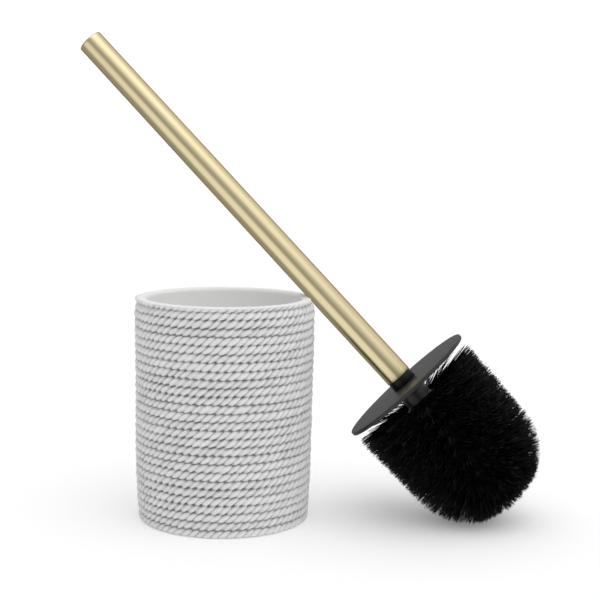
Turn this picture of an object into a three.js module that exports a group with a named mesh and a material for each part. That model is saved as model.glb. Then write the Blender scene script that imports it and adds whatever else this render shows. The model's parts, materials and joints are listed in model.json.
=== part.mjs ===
// Toilet brush and holder.
//
// A cast resin cup in the shape of a coiled rope stands on the floor. The brush leans on its rim:
// a closed metal tube, a black lid, and a bristle head that screws onto the tube's stud.
//
// Millimetres, +Z up. The origin is the centre of the cup's base, on the floor.

import * as THREE from 'three';

// Gap between neighbouring pieces.
const GAP = 0.3;

// Cup
const CUP_HEIGHT = 122.5;
const CUP_UNDERSIDE = 0.4;
const CREST_RADIUS_BOTTOM = 48.3;
const CREST_RADIUS_TOP = 50;
const BASE_ROUND = 1;
const BASE_ROUND_HEIGHT = 24;
const GROOVE_DEPTH = 1.6;
const COURSE_COUNT = 27;
const COURSE_PITCH = 4.468;
const FIRST_GROOVE = 4.2;
const TOP_CREST_SETBACK = 0.85;
const LIP_FLAT_OUTER_RADIUS = 43.6;
const LIP_ROUND = 4.2;
const MOUTH_RADIUS = 42.2;
const MOUTH_EDGE_ROUND = 1.2;
const WELL_RADIUS = 39.6;
const WELL_FLOOR = 8;
const WELL_FILLET = 4;

// Pad under the cup
const PAD_RADIUS = 38;
const PAD_THICKNESS = 1.8;

// Brush: its axis runs from the head to the tip, and its own zero is the lid's top face.
const BRUSH_TILT = THREE.MathUtils.degToRad(43.79);
const BRUSH_HEADING = THREE.MathUtils.degToRad(173);
const BRUSH_PLACE = [100.1, 1.0, 75.4];

// Handle
const TUBE_RADIUS = 7.5;
const TUBE_WALL = 0.8;
const TUBE_START = 5;
const TUBE_END = 256.9;
const TUBE_EDGE_ROUND = 0.7;
const CAP_DEPTH = 6;
const INSERT_LENGTH = 20;
const STUD_RADIUS = 3.9;
const STUD_TOP = 20;
const STUD_BOTTOM = -14.5;
const BORE_RADIUS = STUD_RADIUS + GAP;

// Lid
const COLLAR_RADIUS = 7.3;
const LID_RADIUS = 40.3;
const LID_THICKNESS = 2.2;
const LID_EDGE_BEVEL = 0.5;
const WASHER_RADIUS = 9;
const WASHER_THICKNESS = 0.9;

// Brush head: distances below the lid's top face
const NECK_RADIUS = 8;
const NECK_TOP = LID_THICKNESS + WASHER_THICKNESS + 2 * GAP;
const CORE_RADIUS = 13;
const CORE_TOP = 12;
const CORE_DOME_START = 60;
const SOCKET_END = 16;
const BRISTLE_RADIUS = 39.4;
const BRISTLE_TOP = 10;
const DOME_START = 50;
const DOME_RADIUS = 37.6;
const DOME_LENGTH = 37.3;
const DOME_POWER = 2.3;
const ROW_COUNT = 9;
const ROW_PITCH = 7.2;

// Facets round each piece
const CUP_SEGMENTS = 44;
const TUBE_SEGMENTS = 40;
const LID_SEGMENTS = 64;
const SMALL_SEGMENTS = 28;
const BRISTLE_SEGMENTS = 28;

const material = {
  resin: () => new THREE.MeshStandardMaterial({ color: 0xe6e4e1, roughness: 0.6, metalness: 0 }),
  foam: () => new THREE.MeshStandardMaterial({ color: 0x2c2c2c, roughness: 0.95, metalness: 0 }),
  gold: () => new THREE.MeshStandardMaterial({ color: 0xcdb878, roughness: 0.3, metalness: 1 }),
  steel: () => new THREE.MeshStandardMaterial({ color: 0xb9bcc0, roughness: 0.35, metalness: 1 }),
  collar: () => new THREE.MeshStandardMaterial({ color: 0x080808, roughness: 0.2, metalness: 0 }),
  lid: () => new THREE.MeshStandardMaterial({ color: 0x2b2b2c, roughness: 0.45, metalness: 0 }),
  rubber: () => new THREE.MeshStandardMaterial({ color: 0x151515, roughness: 0.8, metalness: 0 }),
  core: () => new THREE.MeshStandardMaterial({ color: 0x101011, roughness: 0.35, metalness: 0 }),
  bristle: () => new THREE.MeshStandardMaterial({ color: 0x060606, roughness: 0.6, metalness: 0 }),
};

// Points of an arc in the profile plane, as [radius, height], angles in degrees.
function arc(centreR, centreZ, radius, startDeg, endDeg, steps) {
  const points = [];
  for (let i = 0; i <= steps; i += 1) {
    const angle = THREE.MathUtils.degToRad(startDeg + ((endDeg - startDeg) * i) / steps);
    points.push([centreR + radius * Math.cos(angle), centreZ + radius * Math.sin(angle)]);
  }
  return points;
}

// A solid of revolution about Z. The profile runs counter-clockwise, with the radius to the right,
// and either starts and ends on the axis or closes on itself.
function turned(profile, segments) {
  const onAxis = profile[0][0] === 0;
  const loop = onAxis ? profile : [...profile, profile[0]];
  const points = loop.map(([radius, height]) => new THREE.Vector2(radius, height));
  return new THREE.LatheGeometry(points, segments).rotateX(Math.PI / 2);
}

// A straight ring between two heights.
function ring(innerRadius, outerRadius, low, high, segments) {
  const profile = [[innerRadius, low], [outerRadius, low], [outerRadius, high], [innerRadius, high]];
  return turned(profile, segments);
}

function addPiece(group, name, geometry, makeMaterial) {
  const mesh = new THREE.Mesh(geometry, makeMaterial());
  mesh.name = name;
  group.add(mesh);
}

// Radius of the rope's crests at a height on the cup, which rounds in a little at its base.
function crestRadius(height) {
  const cone = CREST_RADIUS_BOTTOM + ((CREST_RADIUS_TOP - CREST_RADIUS_BOTTOM) * height) / CUP_HEIGHT;
  const low = Math.max(0, 1 - height / BASE_ROUND_HEIGHT);
  return cone - BASE_ROUND * low * low;
}

// The cup's outside: one crest per course, with a groove above each but the last.
function coursesProfile() {
  const points = [];
  for (let course = 0; course < COURSE_COUNT; course += 1) {
    const groove = FIRST_GROOVE + course * COURSE_PITCH;
    const crest = groove - COURSE_PITCH / 2;
    const isTop = course === COURSE_COUNT - 1;
    points.push([crestRadius(crest) - (isTop ? TOP_CREST_SETBACK : 0), crest]);
    if (!isTop) points.push([crestRadius(groove) - GROOVE_DEPTH, groove]);
  }
  return points;
}

function cupGeometry() {
  const recessRadius = PAD_RADIUS + GAP;
  const recessTop = PAD_THICKNESS + GAP;
  const underside = [
    [0, recessTop],
    [recessRadius, recessTop],
    [recessRadius, CUP_UNDERSIDE],
    [crestRadius(0) - GROOVE_DEPTH / 2, CUP_UNDERSIDE],
  ];
  const lip = arc(LIP_FLAT_OUTER_RADIUS, CUP_HEIGHT - LIP_ROUND, LIP_ROUND, 25, 90, 4);
  const edgeCentre = MOUTH_RADIUS + MOUTH_EDGE_ROUND;
  const mouthEdge = arc(edgeCentre, CUP_HEIGHT - MOUTH_EDGE_ROUND, MOUTH_EDGE_ROUND, 90, 180, 3);
  const filletCentreR = WELL_RADIUS - WELL_FILLET;
  const well = arc(filletCentreR, WELL_FLOOR + WELL_FILLET, WELL_FILLET, 0, -90, 3);
  const profile = [...underside, ...coursesProfile(), ...lip, ...mouthEdge, ...well, [0, WELL_FLOOR]];
  return turned(profile, CUP_SEGMENTS);
}

function tubeGeometry() {
  const inner = TUBE_RADIUS - TUBE_WALL;
  const edge = arc(TUBE_RADIUS - TUBE_EDGE_ROUND, TUBE_END - TUBE_EDGE_ROUND, TUBE_EDGE_ROUND, 0, 90, 3);
  const profile = [[inner, TUBE_START], [TUBE_RADIUS, TUBE_START], ...edge, [inner, TUBE_END]];
  return turned(profile, TUBE_SEGMENTS);
}

// A plug that closes the tube's far end, flush with its rim.
function endCapGeometry() {
  const radius = TUBE_RADIUS - TUBE_WALL - GAP;
  const profile = [[0, TUBE_END - CAP_DEPTH], [radius, TUBE_END - CAP_DEPTH], [radius, TUBE_END], [0, TUBE_END]];
  return turned(profile, SMALL_SEGMENTS);
}

function studGeometry() {
  const chamfer = 0.8;
  const profile = [
    [0, STUD_BOTTOM],
    [STUD_RADIUS - chamfer, STUD_BOTTOM],
    [STUD_RADIUS, STUD_BOTTOM + chamfer],
    [STUD_RADIUS, STUD_TOP],
    [0, STUD_TOP],
  ];
  return turned(profile, SMALL_SEGMENTS);
}

function lidGeometry() {
  const low = -LID_THICKNESS;
  const shoulder = LID_RADIUS - LID_EDGE_BEVEL;
  const profile = [
    [BORE_RADIUS, low],
    [shoulder, low],
    [LID_RADIUS, low + LID_EDGE_BEVEL],
    [LID_RADIUS, -LID_EDGE_BEVEL],
    [shoulder, 0],
    [BORE_RADIUS, 0],
  ];
  return turned(profile, LID_SEGMENTS);
}

// The moulded core: a neck under the lid, a barrel that carries the bristles and a round end.
function coreGeometry() {
  const barrelEnd = arc(0, -CORE_DOME_START, CORE_RADIUS, -90, 0, 4);
  barrelEnd[0][0] = 0;
  const neckFillet = 2;
  const profile = [
    ...barrelEnd,
    [CORE_RADIUS, -CORE_TOP],
    [NECK_RADIUS + neckFillet, -CORE_TOP + neckFillet],
    [NECK_RADIUS, -CORE_TOP + 2 * neckFillet],
    [NECK_RADIUS, -NECK_TOP],
    [BORE_RADIUS, -NECK_TOP],
    [BORE_RADIUS, -SOCKET_END],
    [0, -SOCKET_END],
  ];
  return turned(profile, SMALL_SEGMENTS);
}

// Outer radius of the bristles at a depth below the lid's top face.
function bristleRadius(depth) {
  if (depth <= DOME_START) return BRISTLE_RADIUS + ((DOME_RADIUS - BRISTLE_RADIUS) * depth) / DOME_START;
  const reach = Math.min(1, (depth - DOME_START) / DOME_LENGTH);
  return DOME_RADIUS * (1 - reach ** DOME_POWER) ** (1 / DOME_POWER);
}

// Radius of the clear hole that a row leaves round the core.
function coreHole(depth) {
  const past = Math.max(0, depth - CORE_DOME_START);
  return Math.sqrt(Math.max(0, CORE_RADIUS ** 2 - past ** 2)) + GAP;
}

// One row of tufts, as a plain solid ring cut square to the brush's axis.
function rowGeometry(row) {
  const top = BRISTLE_TOP + row * ROW_PITCH;
  const bottom = top + ROW_PITCH - GAP;
  const middle = (top + bottom) / 2;
  const profile = [
    [coreHole(top), -bottom],
    [bristleRadius(bottom), -bottom],
    [bristleRadius(middle), -middle],
    [bristleRadius(top), -top],
    [coreHole(top), -top],
  ];
  return turned(profile, BRISTLE_SEGMENTS);
}

// The tufts at the end of the head, as one cap.
function endTuftGeometry() {
  const top = BRISTLE_TOP + ROW_COUNT * ROW_PITCH;
  const end = DOME_START + DOME_LENGTH;
  const profile = [
    [0, -end],
    [bristleRadius(end - 0.4), -(end - 0.4)],
    [bristleRadius(top), -top],
    [0, -top],
  ];
  return turned(profile, BRISTLE_SEGMENTS);
}

function buildHolder() {
  const holder = new THREE.Group();
  addPiece(holder, 'holder_cup', cupGeometry(), material.resin);
  const pad = turned([[0, 0], [PAD_RADIUS, 0], [PAD_RADIUS, PAD_THICKNESS], [0, PAD_THICKNESS]], CUP_SEGMENTS);
  addPiece(holder, 'base_pad', pad, material.foam);
  return holder;
}

function buildHandle() {
  const handle = new THREE.Group();
  addPiece(handle, 'handle_tube', tubeGeometry(), material.gold);
  addPiece(handle, 'handle_end_cap', endCapGeometry(), material.gold);
  const insertRadius = TUBE_RADIUS - TUBE_WALL - GAP;
  const insert = ring(BORE_RADIUS, insertRadius, TUBE_START, TUBE_START + INSERT_LENGTH, SMALL_SEGMENTS);
  addPiece(handle, 'threaded_insert', insert, material.steel);
  addPiece(handle, 'threaded_stud', studGeometry(), material.steel);
  return handle;
}

function buildLid() {
  const lid = new THREE.Group();
  const collar = ring(BORE_RADIUS, COLLAR_RADIUS, GAP, TUBE_START - GAP, SMALL_SEGMENTS);
  addPiece(lid, 'lid_collar', collar, material.collar);
  addPiece(lid, 'lid_disc', lidGeometry(), material.lid);
  const washerTop = -LID_THICKNESS - GAP;
  const washer = ring(BORE_RADIUS, WASHER_RADIUS, washerTop - WASHER_THICKNESS, washerTop, SMALL_SEGMENTS);
  addPiece(lid, 'lid_washer', washer, material.rubber);
  return lid;
}

function buildHead() {
  const head = new THREE.Group();
  addPiece(head, 'head_core', coreGeometry(), material.core);
  for (let row = 0; row < ROW_COUNT; row += 1) {
    addPiece(head, `bristle_row_${row + 1}`, rowGeometry(row), material.bristle);
  }
  addPiece(head, 'bristle_end_tuft', endTuftGeometry(), material.bristle);
  return head;
}

const brush = new THREE.Group();
brush.add(buildHandle(), buildLid(), buildHead());
brush.position.set(...BRUSH_PLACE);
brush.rotation.set(0, BRUSH_TILT, BRUSH_HEADING, 'ZYX');

const model = new THREE.Group();
model.add(buildHolder(), brush);

export default model;
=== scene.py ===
"""Toilet brush and holder: the visible surfaces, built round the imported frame. Metres, +Z up."""

import json
import math

import bpy
import numpy as np
from mathutils import Matrix, Vector


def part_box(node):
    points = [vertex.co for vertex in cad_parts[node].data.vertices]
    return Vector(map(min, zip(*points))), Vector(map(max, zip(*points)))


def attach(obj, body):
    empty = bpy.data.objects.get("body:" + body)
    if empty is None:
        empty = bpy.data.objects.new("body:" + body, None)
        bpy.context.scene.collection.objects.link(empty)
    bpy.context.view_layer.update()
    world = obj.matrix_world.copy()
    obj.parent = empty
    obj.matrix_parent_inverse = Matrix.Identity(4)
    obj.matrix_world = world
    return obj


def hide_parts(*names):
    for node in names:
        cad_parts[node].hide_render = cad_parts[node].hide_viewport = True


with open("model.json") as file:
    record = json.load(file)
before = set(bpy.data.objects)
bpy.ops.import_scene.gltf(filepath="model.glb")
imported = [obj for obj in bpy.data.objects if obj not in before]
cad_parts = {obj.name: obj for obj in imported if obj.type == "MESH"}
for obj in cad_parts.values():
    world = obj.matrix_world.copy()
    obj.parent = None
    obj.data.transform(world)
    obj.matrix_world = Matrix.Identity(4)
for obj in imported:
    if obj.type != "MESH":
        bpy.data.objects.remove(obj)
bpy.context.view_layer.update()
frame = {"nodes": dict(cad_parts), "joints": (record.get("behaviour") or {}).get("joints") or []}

MM = 0.001
TAU = 2 * math.pi
ON_AXIS = 1e-6
SEED = 20
rng = np.random.default_rng(SEED)

# The brush's own axis, from the head to the tip, and its zero at the lid's top face.
turn = next(j for j in frame["joints"] if j["name"] == "handle_turn")
BRUSH_AXIS = Vector(turn["axis"]).normalized()
BRUSH_ZERO = Vector(turn["pos_m"])
BRUSH_TURN = Vector((0, 0, 1)).rotation_difference(BRUSH_AXIS).to_matrix()

# Cup, in millimetres
cup_low, cup_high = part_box("holder_cup")
CUP_HEIGHT = cup_high.z / MM
CUP_UNDERSIDE = cup_low.z / MM
CREST_BOTTOM = 48.3
CREST_TOP = 50.0
COURSES = 27
COURSE_PITCH = 4.468
FIRST_GROOVE = 4.2
LOBES = 69
GROOVE_DEPTH = 2.05
CREASE_DEPTH = 1.35
PIT_DEPTH = 1.35
CROWN_VARIATION = 0.7
BASE_ROUND = 1.3
BASE_ROUND_HEIGHT = 24
FLAT_LEFT = 0.2
FLAT_LEFT_UPPER = 0.26
UNDERSIDE_RADIUS = 44.5
TOP_SETBACK = 0.9
TOP_SETBACK_HEIGHT = 6.5
LIP_FLAT_RADIUS = 45.2
MOUTH_EDGE_ROUND = 2.5
THROAT = (41.4, 92.0)
MOUTH_RADIUS = 42.2
WELL_RADIUS = 39.6
WELL_FLOOR = 8.0
WELL_FILLET = 4.0
pad_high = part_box("base_pad")[1]
PAD_RADIUS = pad_high.x / MM
PAD_TOP = pad_high.z / MM
GAP = 0.3

# The cup's "groove" attribute is the depth below the rope's crests, and this value where it is smooth.
# The resin paints shade by this depth, darker the deeper, and paints the SMOOTH parts lighter as painted
# light.
SMOOTH = -0.6
DEEPEST = 2.4

# Where the grid's columns lie across one lobe, and its rows across one course (-1 to 1) and across
# the half course below the lip
LOBE_STEPS = np.array([0.0, 0.06, 0.18, 0.34, 0.5, 0.66, 0.82, 0.94])
COURSE_STEPS = np.array([-1.0, -0.82, -0.45, 0.0, 0.45, 0.82])
LIP_STEPS = np.array([-1.0, -0.8, -0.45, -0.1, 0.25, 0.6])

# The half course that turns over into the lip: radius, height, tilt of the surface in degrees, share
# of the rope's relief, and how far it is set back where the handle leans
LIP_TURN = [(48.3, 119.9, 0, 0.8, 0.9), (48.8, 120.4, 5, 1.1, 2.0), (49.0, 121.3, 10, 1.4, 2.7),
            (48.9, 121.95, 30, 1.5, 3.1), (48.3, 122.35, 60, 1.2, 2.85), (47.2, 122.48, 85, 0.4, 1.9)]
LEAN_HEADING = math.radians(8)
LEAN_WIDTH = math.radians(14)

# Brush, in millimetres along its axis from the lid's top face
TUBE_RADIUS = 7.47
TIP_RADIUS = 7.05
TUBE_START = 5.0
TUBE_END = 256.9
TAPER_START = 60.0
TUBE_WALL = 0.8
CAP_DEPTH = 6.0
COLLAR_RADIUS = 7.3
BORE_RADIUS = 4.2
LID_RADIUS = 40.3
LID_THICKNESS = 2.2
NECK_RADIUS = 8.0
NECK_TOP = 3.7
CORE_RADIUS = 13.0
CORE_SHOULDER = 13.5
CORE_DOME_START = 60.0
SOCKET_END = 16.0
BRISTLE_RADIUS = 39.9
DOME_START = 50.0
DOME_RADIUS = 38.4
DOME_LENGTH = 38.2
DOME_POWER = 2.3
ROWS = 9
ROW_TOP = 10.0
ROW_PITCH = 7.2
TUFTS_IN_ROW = 26
TUFTS_IN_LAST_ROWS = 22
BRISTLES_IN_TUFT = 64
DEEPEST_ROOT = 71.0
END_TUFT_SPREAD = 0.28
FLOOR_CLEARANCE = 0.12
BEND_HEIGHT = 0.35


# ---------------------------------------------------------------- mesh helpers

def mesh_object(name, verts, faces, smooth=True):
    """An object from vertices in millimetres and faces as index lists or an (n, 4) array."""
    mesh = bpy.data.meshes.new(name)
    points = np.asarray(verts, float) * MM
    if isinstance(faces, np.ndarray):
        faces = faces.tolist()
    mesh.from_pydata(points.tolist(), [], faces)
    mesh.validate()
    mesh.polygons.foreach_set("use_smooth", [smooth] * len(mesh.polygons))
    mesh.update()
    obj = bpy.data.objects.new(name, mesh)
    bpy.context.scene.collection.objects.link(obj)
    return obj


def to_brush(points):
    """Points in the brush's own millimetre frame, moved to where the brush leans, in millimetres."""
    turn_matrix = np.array(BRUSH_TURN)
    return np.asarray(points, float) @ turn_matrix.T + np.array(BRUSH_ZERO) / MM


def arc(centre_r, centre_z, radius, start, end, steps):
    angles = np.radians(np.linspace(start, end, steps + 1))
    return [(centre_r + radius * math.cos(a), centre_z + radius * math.sin(a)) for a in angles]


def turned(name, profile, segments, sharp=35):
    """A closed solid of revolution about the brush's axis. The profile is [(radius, height)] in
    millimetres; its points on the axis become single vertices, and a profile that never meets the
    axis closes on itself."""
    angles = np.arange(segments) * TAU / segments
    verts, rows = [], []
    for radius, height in profile:
        if radius < ON_AXIS:
            rows.append([len(verts)] * segments)
            verts.append((0.0, 0.0, height))
            continue
        rows.append(list(range(len(verts), len(verts) + segments)))
        verts.extend((radius * math.cos(a), radius * math.sin(a), height) for a in angles)
    pairs = list(zip(rows, rows[1:]))
    if profile[0][0] >= ON_AXIS:
        pairs.append((rows[-1], rows[0]))
    faces = []
    for low, high in pairs:
        for i in range(segments):
            k = (i + 1) % segments
            loop = [low[i], low[k], high[k], high[i]]
            faces.append(list(dict.fromkeys(loop)))
    obj = mesh_object(name, to_brush(verts), faces)
    obj.data.set_sharp_from_angle(angle=math.radians(sharp))
    return obj


# ---------------------------------------------------------------- materials

def new_material(name, **values):
    material = bpy.data.materials.new(name)
    material.use_nodes = True
    shader = material.node_tree.nodes["Principled BSDF"]
    for socket, value in values.items():
        shader.inputs[socket.replace("_", " ")].default_value = value
    return material, material.node_tree.nodes, material.node_tree.links, shader


def noise_node(nodes, links, scale, detail=3.0):
    coords = nodes.new("ShaderNodeTexCoord")
    texture = nodes.new("ShaderNodeTexNoise")
    texture.inputs["Scale"].default_value = scale
    texture.inputs["Detail"].default_value = detail
    links.new(coords.outputs["Object"], texture.inputs["Vector"])
    return texture


def ramp_node(nodes, links, source, low, high, low_colour, high_colour):
    ramp = nodes.new("ShaderNodeValToRGB")
    ramp.color_ramp.elements[0].position = low
    ramp.color_ramp.elements[1].position = high
    ramp.color_ramp.elements[0].color = low_colour
    ramp.color_ramp.elements[1].color = high_colour
    links.new(source, ramp.inputs["Fac"])
    return ramp


def range_node(nodes, links, source, low, high):
    mapped = nodes.new("ShaderNodeMapRange")
    mapped.inputs["To Min"].default_value = low
    mapped.inputs["To Max"].default_value = high
    links.new(source, mapped.inputs["Value"])
    return mapped


def bump_node(nodes, links, source, strength, distance):
    bump = nodes.new("ShaderNodeBump")
    bump.inputs["Strength"].default_value = strength
    bump.inputs["Distance"].default_value = distance
    links.new(source, bump.inputs["Height"])
    return bump


def grey(value):
    return (value, value, value, 1.0)


def resin_material():
    """Off-white cast resin with painted shade, darker down in the grooves and pits, painted lighter on
    the smooth parts, with a fine mottle and grain.
    """
    material, nodes, links, shader = new_material("resin")
    depth = nodes.new("ShaderNodeAttribute")
    depth.attribute_name = "groove"
    share = range_node(nodes, links, depth.outputs["Fac"], 0.0, 1.0)
    share.inputs["From Min"].default_value = SMOOTH
    share.inputs["From Max"].default_value = DEEPEST
    # Painted shade: the colour darkens with depth below the crests, into the grooves and pits, and the
    # smooth parts are painted lightest.
    shade = ramp_node(nodes, links, share.outputs["Result"], 0.0, 1.0, grey(0.97), grey(0.33))
    shade.color_ramp.elements.new(0.2).color = grey(0.83)
    shade.color_ramp.elements.new(0.52).color = grey(0.70)
    mottle = noise_node(nodes, links, 700.0, 4.0)
    tint = ramp_node(nodes, links, mottle.outputs["Fac"], 0.3, 0.7, grey(0.955), grey(1.0))
    mix = nodes.new("ShaderNodeMix")
    mix.data_type = "RGBA"
    mix.blend_type = "MULTIPLY"
    mix.inputs["Factor"].default_value = 1.0
    links.new(shade.outputs["Color"], mix.inputs[6])
    links.new(tint.outputs["Color"], mix.inputs[7])
    links.new(mix.outputs[2], shader.inputs["Base Color"])
    grain = noise_node(nodes, links, 1600.0, 4.0)
    bump = bump_node(nodes, links, grain.outputs["Fac"], 0.25, 0.0002)
    links.new(bump.outputs["Normal"], shader.inputs["Normal"])
    rough = range_node(nodes, links, mottle.outputs["Fac"], 0.45, 0.62)
    links.new(rough.outputs["Result"], shader.inputs["Roughness"])
    return material


def gold_material():
    """Pale gold plating over steel, brushed along the tube."""
    material, nodes, links, shader = new_material(
        "brushed_gold", Metallic=1.0, Anisotropic=0.5, Anisotropic_Rotation=0.25,
        Specular_Tint=(0.55, 0.42, 0.30, 1.0))
    uv = nodes.new("ShaderNodeUVMap")
    uv.uv_map = "along"
    mapping = nodes.new("ShaderNodeMapping")
    mapping.inputs["Scale"].default_value = (260.0, 3.0, 1.0)
    links.new(uv.outputs["UV"], mapping.inputs["Vector"])
    streaks = nodes.new("ShaderNodeTexNoise")
    streaks.inputs["Scale"].default_value = 1.0
    streaks.inputs["Detail"].default_value = 4.0
    links.new(mapping.outputs["Vector"], streaks.inputs["Vector"])
    colour = ramp_node(nodes, links, streaks.outputs["Fac"], 0.3, 0.7,
                       (0.62, 0.53, 0.31, 1), (0.76, 0.67, 0.43, 1))
    links.new(colour.outputs["Color"], shader.inputs["Base Color"])
    rough = range_node(nodes, links, streaks.outputs["Fac"], 0.22, 0.36)
    links.new(rough.outputs["Result"], shader.inputs["Roughness"])
    bump = bump_node(nodes, links, streaks.outputs["Fac"], 0.12, 0.00005)
    links.new(bump.outputs["Normal"], shader.inputs["Normal"])
    tangent = nodes.new("ShaderNodeTangent")
    tangent.direction_type = "UV_MAP"
    tangent.uv_map = "along"
    links.new(tangent.outputs["Tangent"], shader.inputs["Tangent"])
    return material


def plastic_material(name, value, roughness, grain=900.0, grain_strength=0.1, specular=0.5):
    """Moulded plastic or rubber: a fine moulded grain, and roughness and colour that vary a little."""
    variation = 0.25
    material, nodes, links, shader = new_material(name, Specular_IOR_Level=specular)
    cloud = noise_node(nodes, links, 60.0)
    colour = ramp_node(nodes, links, cloud.outputs["Fac"], 0.3, 0.7,
                       grey(value * (1 - variation / 2)), grey(value * (1 + variation / 2)))
    links.new(colour.outputs["Color"], shader.inputs["Base Color"])
    rough = range_node(nodes, links, cloud.outputs["Fac"], roughness * 0.88, roughness * 1.12)
    links.new(rough.outputs["Result"], shader.inputs["Roughness"])
    fine = noise_node(nodes, links, grain, 2.0)
    bump = bump_node(nodes, links, fine.outputs["Fac"], grain_strength, 0.0001)
    links.new(bump.outputs["Normal"], shader.inputs["Normal"])
    return material


def steel_material():
    material, nodes, links, shader = new_material("machined_steel", Metallic=1.0, Roughness=0.32)
    cloud = noise_node(nodes, links, 400.0)
    colour = ramp_node(nodes, links, cloud.outputs["Fac"], 0.3, 0.7, grey(0.42), grey(0.56))
    links.new(colour.outputs["Color"], shader.inputs["Base Color"])
    return material


def bristle_material():
    """Black nylon: each bristle differs a little in tone and gloss at random, and a few are painted
    lighter grey as painted glints.
    """
    material, nodes, links, shader = new_material("black_nylon", Specular_IOR_Level=0.16)
    geometry = nodes.new("ShaderNodeNewGeometry")
    colour = ramp_node(nodes, links, geometry.outputs["Random Per Island"], 0.0, 1.0,
                       grey(0.001), grey(0.06))
    # The upper stops paint a few bristles lighter grey: painted glints.
    colour.color_ramp.elements.new(0.90).color = grey(0.005)
    colour.color_ramp.elements.new(0.96).color = grey(0.025)
    links.new(colour.outputs["Color"], shader.inputs["Base Color"])
    rough = range_node(nodes, links, geometry.outputs["Random Per Island"], 0.4, 0.6)
    links.new(rough.outputs["Result"], shader.inputs["Roughness"])
    return material


def give(obj, material, slot, body, *nodes):
    """Puts a finished piece on its body, with its material, in place of its CAD nodes."""
    obj.data.materials.clear()
    obj.data.materials.append(material)
    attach(obj, body)
    if nodes:
        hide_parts(*nodes)


# ---------------------------------------------------------------- cup

def strand_shift(v):
    """How far a strand has moved along its course, in lobes, from the lower groove to the upper."""
    return 0.5 * (1.15 * v - 0.15 * v ** 3)


def lobe_tables():
    """Per course and lobe: the crown's height, how filled the crease before it is, and its place.
    Per course: where its first lobe lies, and how its lower groove wanders up and down."""
    shape = (COURSES + 2, LOBES)
    crown = rng.normal(1.0, 0.16, shape).clip(0.6, 1.25)
    well_filled = rng.random(shape) < 0.07
    filled = np.where(well_filled, rng.uniform(0.4, 0.75, shape), rng.uniform(0, 0.3, shape))
    nudge = rng.normal(0, 0.09, shape).clip(-0.2, 0.2)
    offset = rng.integers(0, LOBES * len(LOBE_STEPS), COURSES + 2)
    waves = [(rng.integers(low, high, COURSES + 2), rng.uniform(0, TAU, COURSES + 2), size)
             for low, high, size in ((3, 7, 0.12), (11, 18, 0.10), (29, 42, 0.09))]
    return crown, filled, nudge, offset, waves


def relief(course, v, columns, tables):
    """Depth of the surface below the rope's crest, in millimetres, along one row of one course."""
    crown, filled, _, offset, _ = tables
    per_lobe = len(LOBE_STEPS)
    index = (columns + offset[course]) % (LOBES * per_lobe)
    lobe, step = index // per_lobe, index % per_lobe
    u = LOBE_STEPS[step]
    after = (lobe + 1) % LOBES
    fill = np.where(u < 0.5, filled[course][lobe], filled[course][after])
    height = np.where(u < 0.5, (0.5 + u) * crown[course][lobe] + (0.5 - u) * crown[course][lobe - 1],
                      (1.5 - u) * crown[course][lobe] + (u - 0.5) * crown[course][after])
    near = 2 * np.minimum(u, 1 - u)
    bulge = np.sqrt(1 - (1 - near) ** 2)
    edge = abs(v)
    across = GROOVE_DEPTH * (1 - np.sqrt(1 - (edge / (1.03 + 0.20 * bulge)) ** 2))
    crease = CREASE_DEPTH * (1 - fill) * (1 - bulge)
    pit = PIT_DEPTH * (1 - 0.4 * fill) * np.clip((edge - 0.5) / 0.5 - 0.95 * near, 0, 1)
    return across + crease + pit + CROWN_VARIATION * (1 - height)


def groove_row(course, columns, tables):
    """The row between two courses lies between the two depths there."""
    above = relief(course, -1.0, columns, tables)
    below = relief(course - 1, 1.0, columns, tables) if course > 0 else above
    return 0.5 * (above + below)


def groove_wander(course, angle, tables):
    """How far the groove below a course runs above or below its place, in millimetres."""
    if course > COURSES - 2:
        return 0.0
    return sum(size * np.sin(count[course] * angle + phase[course]) for count, phase, size in tables[4])


def crest_radius(height, angle):
    """The cup widens upwards, rounds in at its base, and is a little flat on its left side."""
    cone = CREST_BOTTOM + (CREST_TOP - CREST_BOTTOM) * height / CUP_HEIGHT
    right = 0.5 + 0.5 * np.cos(angle)
    low = max(0.0, BASE_ROUND_HEIGHT - height) / BASE_ROUND_HEIGHT
    rounded = (BASE_ROUND - 0.5 * right) * low ** (1.6 - 0.7 * right)
    flat = FLAT_LEFT + FLAT_LEFT_UPPER * min(1.0, max(0.0, (height - 50) / 25))
    return cone - rounded - flat * (1 - np.cos(angle))


def rope_rows():
    """Every row of the rope's surface: course, place across it, heights, angles and depths."""
    tables = lobe_tables()
    nudge, offset = tables[2], tables[3]
    per_lobe = len(LOBE_STEPS)
    columns = np.arange(LOBES * per_lobe)
    rows = []
    for course in range(COURSES + 1):
        centre = FIRST_GROOVE + (course - 0.5) * COURSE_PITCH
        shifted = (columns + offset[course]) % len(columns)
        nudges = np.append(nudge[course], nudge[course][0])
        wander = np.interp(shifted / per_lobe, np.arange(LOBES + 1), nudges)
        for v in LIP_STEPS if course == COURSES else COURSE_STEPS:
            if v == -1:
                depth = groove_row(course, columns, tables)
            else:
                depth = relief(course, v, columns, tables)
            place = columns // per_lobe + LOBE_STEPS[columns % per_lobe] + course + strand_shift(v)
            angle = (place + wander * (1 - abs(v)) ** 0.5) * TAU / LOBES
            t = (v + 1) / 2
            lower = groove_wander(course, angle, tables)
            upper = groove_wander(course + 1, angle, tables)
            height = centre + v * COURSE_PITCH / 2 + ((1 - t) * lower + t * upper)
            rows.append((course, v, height, angle, depth))
    return rows


def underside_rings(angle):
    """From the pad's recess outwards. Every ring is its radius, angles, height and groove depth."""
    recess = PAD_RADIUS + GAP
    outline = [(recess, PAD_TOP + GAP), (recess, CUP_UNDERSIDE), (UNDERSIDE_RADIUS, CUP_UNDERSIDE)]
    return [(radius, angle, height, 0.0) for radius, height in outline]


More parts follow.
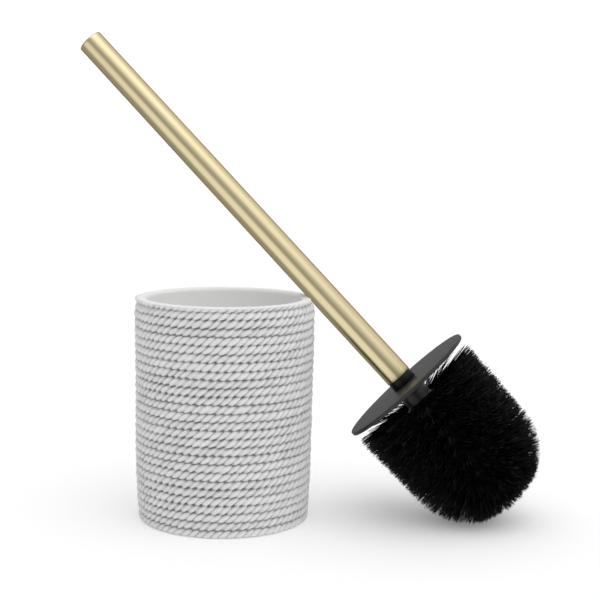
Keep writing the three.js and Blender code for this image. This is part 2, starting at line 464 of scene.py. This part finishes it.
def course_rings(rows):
    """The whole courses. The top one is set back, and the lowest groove is shallower on the right."""
    rings = []
    for course, v, height, angle, depth in rows:
        middle = float(np.mean(height))
        setback = TOP_SETBACK * (max(0.0, middle - CUP_HEIGHT + TOP_SETBACK_HEIGHT) / 2.2) ** 1.6
        if course == 0 and v < 0:
            depth = depth * (0.7 - 0.3 * np.cos(angle))
        radius = crest_radius(middle, angle) - setback - depth
        rings.append((radius, angle, np.maximum(height, CUP_UNDERSIDE), depth))
    return rings


def lip_rings(rows):
    """The half course below the lip, set back where the handle leans on it, smooth at its top and painted
    lighter there like the lip.
    """
    rings = []
    for index, (radius, height, tilt, share, dent) in enumerate(LIP_TURN):
        _, _, _, angle, depth = rows[index]
        from_lean = (angle - LEAN_HEADING + math.pi) % TAU - math.pi
        lean = np.exp(-(from_lean / LEAN_WIDTH) ** 2)
        sink = depth * share * (0.8 + 0.2 * np.sin(5 * angle + 1.0))
        side = radius - 0.15 * (1 - np.cos(angle)) - dent * lean
        tilt = math.radians(tilt)
        # Towards the lip the colour is painted lighter, as on the smooth inside: painted light.
        painted_lighter = SMOOTH * max(0, index - 3) / 2
        radius, height = side - sink * math.cos(tilt), height - sink * math.sin(tilt)
        rings.append((radius, angle, height, sink * 0.8 + painted_lighter))
    return rings


def inside_rings(angle):
    """The lip's flat top, the smooth wall inside it and the well's floor."""
    outline = [(LIP_FLAT_RADIUS, CUP_HEIGHT)]
    edge = MOUTH_EDGE_ROUND
    outline += arc(MOUTH_RADIUS + edge, CUP_HEIGHT - edge, edge, 90, 180, 5)
    outline += [THROAT]
    outline += arc(WELL_RADIUS - WELL_FILLET, WELL_FLOOR + WELL_FILLET, WELL_FILLET, 0, -90, 3)
    # Their SMOOTH value paints the lip, the inside wall and the well lighter: painted light on a smooth
    # surface.
    return [(radius, angle, height, SMOOTH) for radius, height in outline]


def cup_geometry():
    """The cup's vertices, its faces, and the depth of the groove at each vertex."""
    rows = rope_rows()
    rings = underside_rings(rows[0][3])
    rings += course_rings([row for row in rows if row[0] < COURSES])
    rings += lip_rings([row for row in rows if row[0] == COURSES])
    rings += inside_rings(rows[-1][3])
    columns = LOBES * len(LOBE_STEPS)
    verts, groove = [], []
    for radius, angle, height, depth in rings:
        height = np.broadcast_to(height, columns)
        verts.append(np.stack([radius * np.cos(angle), radius * np.sin(angle), height], -1))
        groove.append(np.broadcast_to(depth, columns))
    verts.append(np.array([(0, 0, PAD_TOP + GAP), (0, 0, WELL_FLOOR)], float))
    groove.append([0.0, SMOOTH])
    here = np.arange(columns)
    beside = (here + 1) % columns
    faces = []
    for row in range(len(rings) - 1):
        a, b = row * columns, (row + 1) * columns
        faces += np.stack([a + here, a + beside, b + beside, b + here], -1).tolist()
    top = (len(rings) - 1) * columns
    underside_centre, floor_centre = len(rings) * columns, len(rings) * columns + 1
    faces += np.stack([np.full(columns, underside_centre), beside, here], -1).tolist()
    faces += np.stack([np.full(columns, floor_centre), top + here, top + beside], -1).tolist()
    return np.concatenate(verts), faces, np.concatenate(groove)


def make_cup(material):
    points, faces, groove = cup_geometry()
    cup = mesh_object("rope_cup", points, faces)
    attribute = cup.data.attributes.new("groove", "FLOAT", "POINT")
    attribute.data.foreach_set("value", groove.astype(np.float32))
    cup.visible_glossy = False
    give(cup, material, "resin", "holder", "holder_cup")


# ---------------------------------------------------------------- handle and lid

def add_along_uv(obj, length):
    """A map with the turn round the brush's axis across and the way along it up."""
    layer = obj.data.uv_layers.new(name="along")
    points = np.array([v.co for v in obj.data.vertices]) / MM
    local = (points - np.array(BRUSH_ZERO) / MM) @ np.array(BRUSH_TURN)
    for loop in obj.data.loops:
        x, y, z = local[loop.vertex_index]
        layer.data[loop.index].uv = (math.atan2(y, x) / TAU + 0.5, z / length)


def make_tube(material):
    """The tube narrows a little towards its tip, where its edge is rounded over."""
    inner = TIP_RADIUS - TUBE_WALL
    cut, tip_round, bevel = 0.25, 0.7, 0.1
    profile = [(inner, TUBE_START), (TUBE_RADIUS - cut, TUBE_START)]
    profile += arc(TUBE_RADIUS - cut, TUBE_START + cut, cut, -45, 0, 2)
    for height in np.linspace(TUBE_START + 2, TUBE_END - 2, 12):
        radius = np.interp(height, [TAPER_START, TUBE_END], [TUBE_RADIUS, TIP_RADIUS])
        profile.append((float(radius), height))
    profile += arc(TIP_RADIUS - tip_round, TUBE_END - tip_round, tip_round, 0, 90, 6)
    profile += [(inner + bevel, TUBE_END), (inner, TUBE_END - bevel)]
    tube = turned("brushed_tube", profile, 128)
    add_along_uv(tube, TUBE_END)
    give(tube, material, "gold", "handle", "handle_tube")


def make_end_cap(material):
    fit = 0.06
    radius = TIP_RADIUS - TUBE_WALL - fit
    profile = [(0, TUBE_END - CAP_DEPTH), (radius, TUBE_END - CAP_DEPTH)]
    profile += arc(radius - 0.25, TUBE_END - 0.3, 0.25, 0, 90, 4) + [(0, TUBE_END - 0.05)]
    cap = turned("end_cap", profile, 96)
    add_along_uv(cap, TUBE_END)
    give(cap, material, "gold", "handle", "handle_end_cap")


def make_collar(material):
    low, high, edge = GAP / 2, TUBE_START - GAP / 2, 0.3
    profile = [(BORE_RADIUS, low), (COLLAR_RADIUS - 0.1, low)]
    profile += arc(COLLAR_RADIUS - edge, low + edge, edge, -60, 0, 3)
    profile += arc(COLLAR_RADIUS - edge, high - edge, edge, 0, 90, 4) + [(BORE_RADIUS, high)]
    give(turned("gloss_collar", profile, 96), material, "collar", "lid", "lid_collar")


def make_lid(material):
    round_off = 0.55
    low = -LID_THICKNESS
    profile = [(BORE_RADIUS, low), (LID_RADIUS - round_off, low)]
    profile += arc(LID_RADIUS - round_off, low + round_off, round_off, -60, 0, 4)
    profile += arc(LID_RADIUS - round_off, -round_off, round_off, 0, 90, 6)
    profile += [(20.0, 0.0), (BORE_RADIUS, 0.0)]
    give(turned("satin_lid", profile, 192), material, "lid", "lid", "lid_disc")


def make_core(material):
    """A round end, the barrel, a rounded shoulder, a hollow curve up to the neck, and the socket."""
    shoulder, edge = 3, 0.3
    profile = arc(0, -CORE_DOME_START, CORE_RADIUS, -90, 0, 14)
    profile[0] = (0.0, profile[0][1])
    profile += arc(CORE_RADIUS - shoulder, -CORE_SHOULDER - shoulder, shoulder, 0, 80, 7)
    for turn_angle in np.linspace(0, math.pi / 2, 6):
        radius = NECK_RADIUS + 1.6 * (1 - math.sin(turn_angle))
        profile.append((radius, -CORE_SHOULDER + 0.2 + 2.2 * (1 - math.cos(turn_angle))))
    profile += arc(NECK_RADIUS - edge, -NECK_TOP - edge, edge, 0, 90, 3)
    profile += [(BORE_RADIUS, -NECK_TOP), (BORE_RADIUS, -SOCKET_END), (0, -SOCKET_END)]
    give(turned("moulded_core", profile, 96), material, "core", "brush_head", "head_core")


# ---------------------------------------------------------------- bristles

def head_radius(depth):
    if depth <= DOME_START:
        return BRISTLE_RADIUS + (DOME_RADIUS - BRISTLE_RADIUS) * max(depth, 0) / DOME_START
    reach = min(1.0, (depth - DOME_START) / DOME_LENGTH)
    return DOME_RADIUS * (1 - reach ** DOME_POWER) ** (1 / DOME_POWER)


def surface_along(root, direction):
    """How far a bristle from root may run before it meets the head's outer shape."""
    low, high = 0.0, 60.0
    for _ in range(22):
        middle = (low + high) / 2
        x, y, z = root + direction * middle
        depth = -z
        outside = depth > DOME_START + DOME_LENGTH or math.hypot(x, y) > head_radius(depth)
        low, high = (low, middle) if outside else (middle, high)
    return low


def bristle_mesh(roots, ways, lengths, bends, thick):
    """Closed three-sided bristles that taper to their tips, as one vertex array and one face list."""
    count = len(roots)
    stations = np.array([0.0, 0.5, 0.82, 1.0])
    widths = np.array([1.0, 1.0, 0.95, 0.65])
    side = np.cross(ways, rng.normal(size=(count, 3)))
    side /= np.linalg.norm(side, axis=1, keepdims=True)
    other = np.cross(ways, side)
    verts = []
    for t, w in zip(stations, widths):
        middle = roots + ways * (lengths * t)[:, None] + bends * (t * t)
        for corner in range(3):
            a = TAU * corner / 3
            out = side * math.cos(a) + other * math.sin(a)
            verts.append(middle + out * (thick * w)[:, None])
    verts = np.stack(verts, 1)
    pattern = [[2, 1, 0]]
    for low in range(0, 9, 3):
        high = low + 3
        for corner in range(3):
            after = (corner + 1) % 3
            pattern.append([low + corner, low + after, high + after])
            pattern.append([low + corner, high + after, high + corner])
    pattern += [[9, 10, 11]]
    first = np.arange(count) * 12
    faces = (first[:, None, None] + np.array(pattern)[None]).reshape(-1, 3)
    return verts.reshape(-1, 3), faces


def keep_above_floor(points):
    """Bristles that would reach the floor bend along it."""
    placed = to_brush(points)
    height = placed[:, 2]
    bent = FLOOR_CLEARANCE + (BEND_HEIGHT - FLOOR_CLEARANCE) * np.exp((height - BEND_HEIGHT) / 1.5)
    placed[:, 2] = np.where(height < BEND_HEIGHT, bent, height)
    return placed


def make_tufts(name, node, tufts, material):
    """tufts: (root, direction, spread) each; every tuft is a fan of bristles from one hole."""
    roots, ways, lengths, bends, thick = [], [], [], [], []
    for root, direction, spread in tufts:
        helper = np.cross(direction, [0.3, 0.5, 0.81])
        helper /= np.linalg.norm(helper)
        second = np.cross(direction, helper)
        radius = np.sqrt(rng.random(BRISTLES_IN_TUFT))
        angle = rng.random(BRISTLES_IN_TUFT) * TAU
        reach = rng.normal(-0.1, 0.45, BRISTLES_IN_TUFT)
        for r, a, j in zip(radius, angle, reach):
            off = helper * math.cos(a) * r + second * math.sin(a) * r
            way = direction + off * spread + rng.normal(0, 0.018, 3)
            way /= np.linalg.norm(way)
            start = root + off * 1.1
            run = surface_along(start, way)
            roots.append(start)
            ways.append(way)
            lengths.append(max(4.0, run + j))
            bends.append(rng.normal(0, 0.45, 3))
            thick.append(rng.uniform(0.12, 0.175))
    verts, faces = bristle_mesh(*(np.array(values) for values in (roots, ways, lengths, bends, thick)))
    obj = mesh_object(name, keep_above_floor(verts), faces)
    give(obj, material, "bristle", "brush_head", node)


def row_tufts(row):
    """One ring of tufts. The first leans back to the lid, and the last ones forward round the end."""
    depth = ROW_TOP + (row + 0.5) * ROW_PITCH
    around = TUFTS_IN_ROW if row < ROWS - 2 else TUFTS_IN_LAST_ROWS
    lean = np.interp(row, [0, 5, 6, 7, 8], [0.01, 0.0, -0.14, -0.36, -0.62])
    spread = np.interp(row, [0, 1, 5, 6, 8], [0.15, 0.21, 0.21, 0.27, 0.30])
    tufts = []
    for k in range(around):
        a = TAU * (k + 0.5 * (row % 2)) / around + rng.normal(0, 0.02)
        past = max(0.0, depth - CORE_DOME_START)
        radius = math.sqrt(max(4.0, CORE_RADIUS ** 2 - past ** 2)) - 1.0
        root = np.array([radius * math.cos(a), radius * math.sin(a), -min(depth, DEEPEST_ROOT)])
        direction = np.array([math.cos(a), math.sin(a), lean + rng.normal(0, 0.02)])
        direction /= np.linalg.norm(direction)
        tufts.append((root, direction, spread + rng.uniform(-0.02, 0.03)))
    return tufts


def end_tufts():
    """The tufts of the round end, on three rings about the axis."""
    tufts = []
    for tilt, around in ((6, 3), (24, 9), (43, 16)):
        for k in range(around):
            a = TAU * k / around + rng.normal(0, 0.05)
            t = math.radians(tilt)
            way = np.array([math.sin(t) * math.cos(a), math.sin(t) * math.sin(a), -math.cos(t)])
            root = np.array([0, 0, -CORE_DOME_START]) + way * (CORE_RADIUS - 1)
            tufts.append((root, way, END_TUFT_SPREAD))
    return tufts


def make_bristles(material):
    for row in range(ROWS):
        make_tufts(f"tufts_row_{row + 1}", f"bristle_row_{row + 1}", row_tufts(row), material)
    make_tufts("tufts_end", "bristle_end_tuft", end_tufts(), material)


# ---------------------------------------------------------------- stage

def make_floor():
    size = 30.0
    verts = [(-size, -size, 0), (size, -size, 0), (size, size, 0), (-size, size, 0)]
    floor = mesh_object("floor", np.array(verts) / MM, [[0, 1, 2, 3]], smooth=False)
    material, _, _, shader = new_material("pale_floor", Roughness=0.9)
    shader.inputs["Base Color"].default_value = grey(0.87)
    shader.inputs["Emission Color"].default_value = grey(1.0)
    shader.inputs["Emission Strength"].default_value = 0.20
    floor.data.materials.append(material)
    floor.visible_glossy = False


# Each lobe of light: the direction it comes from, the cosines between which it fades in, and its strength
LIGHT = [((0.20, 0.08, 0.97), -0.1, 1.0, 0.66),    # a broad dome, bright overhead
         ((0.17, -0.34, 0.92), 0.74, 0.98, 0.78),  # a softbox above the front
         ((0.98, 0.0, 0.15), 0.1, 1.0, 0.10),      # a faint fill on the right
         ((0.0, -1.0, 0.30), 0.3, 1.0, 0.15),      # and one in front
         ((-0.48, -0.74, -0.46), 0.76, 0.97, 0.95),  # a softbox low on the left, in front
         ((-0.60, 0.45, -0.60), 0.0, 1.0, 0.20)]   # and a weak one low behind it
ROOM = 0.25
WHITE_TO_CAMERA = 1.1


def make_world():
    """White to the camera. The object is lit by an even room and the lobes of LIGHT."""
    world = bpy.data.worlds.new("studio")
    world.use_nodes = True
    nodes, links = world.node_tree.nodes, world.node_tree.links
    coords = nodes.new("ShaderNodeTexCoord")

    def math_node(operation, first, second):
        node = nodes.new("ShaderNodeMath")
        node.operation = operation
        for socket, value in zip(node.inputs, (first, second)):
            if isinstance(value, float):
                socket.default_value = value
            else:
                links.new(value, socket)
        return node.outputs[0]

    def lobe(direction, low, high, strength):
        """Light from round one direction, fading out between two cosines."""
        dot = nodes.new("ShaderNodeVectorMath")
        dot.operation = "DOT_PRODUCT"
        links.new(coords.outputs["Generated"], dot.inputs[0])
        dot.inputs[1].default_value = Vector(direction).normalized()
        fade = nodes.new("ShaderNodeMapRange")
        fade.interpolation_type = "SMOOTHSTEP"
        fade.inputs["From Min"].default_value = low
        fade.inputs["From Max"].default_value = high
        fade.inputs["To Max"].default_value = strength
        links.new(dot.outputs["Value"], fade.inputs["Value"])
        return fade.outputs["Result"]

    total = ROOM
    for direction, low, high, strength in LIGHT:
        total = math_node("ADD", lobe(direction, low, high, strength), total)
    room = nodes.new("ShaderNodeBackground")
    room.inputs["Color"].default_value = grey(1.0)
    links.new(total, room.inputs["Strength"])
    seen = nodes["Background"]
    seen.inputs["Color"].default_value = grey(1.0)
    seen.inputs["Strength"].default_value = WHITE_TO_CAMERA
    path = nodes.new("ShaderNodeLightPath")
    mix = nodes.new("ShaderNodeMixShader")
    links.new(path.outputs["Is Camera Ray"], mix.inputs["Fac"])
    links.new(room.outputs["Background"], mix.inputs[1])
    links.new(seen.outputs["Background"], mix.inputs[2])
    links.new(mix.outputs["Shader"], nodes["World Output"].inputs["Surface"])
    bpy.context.scene.world = world


def make_camera():
    """A long lens a little to the right of the cup, looking slightly down, with a slight roll."""
    place = Vector((0.0415, -0.7064, 0.2108))
    pitch, roll = math.radians(7.24), math.radians(0.79)
    right = Vector((1, 0, 0))
    up = Vector((0, math.sin(pitch), math.cos(pitch)))
    rolled_right = right * math.cos(roll) + up * math.sin(roll)
    rolled_up = up * math.cos(roll) - right * math.sin(roll)
    back = rolled_right.cross(rolled_up)
    data = bpy.data.cameras.new("camera")
    data.sensor_width = 36.0
    data.lens = 78.0
    camera = bpy.data.objects.new("camera", data)
    camera.matrix_world = Matrix((rolled_right, rolled_up, back)).transposed().to_4x4()
    camera.location = place
    bpy.context.scene.collection.objects.link(camera)
    bpy.context.scene.camera = camera


make_camera()
make_world()
make_floor()
bpy.context.scene.view_settings.view_transform = "Standard"

resin = resin_material()
gold = gold_material()
make_cup(resin)
make_tube(gold)
make_end_cap(gold)
make_collar(plastic_material("gloss_black", 0.003, 0.3, grain_strength=0.02, specular=0.22))
make_lid(plastic_material("satin_grey", 0.025, 0.42, specular=0.3))
make_core(plastic_material("moulded_black", 0.007, 0.33, specular=0.45))
make_bristles(bristle_material())

steel = steel_material()
rubber = plastic_material("washer_rubber", 0.01, 0.7)
foam = plastic_material("pad_foam", 0.03, 0.9, grain=2500.0, grain_strength=0.5)
for node, material in (("threaded_insert", steel), ("threaded_stud", steel),
                       ("lid_washer", rubber), ("base_pad", foam)):
    frame["nodes"][node].data.materials.clear()
    frame["nodes"][node].data.materials.append(material)
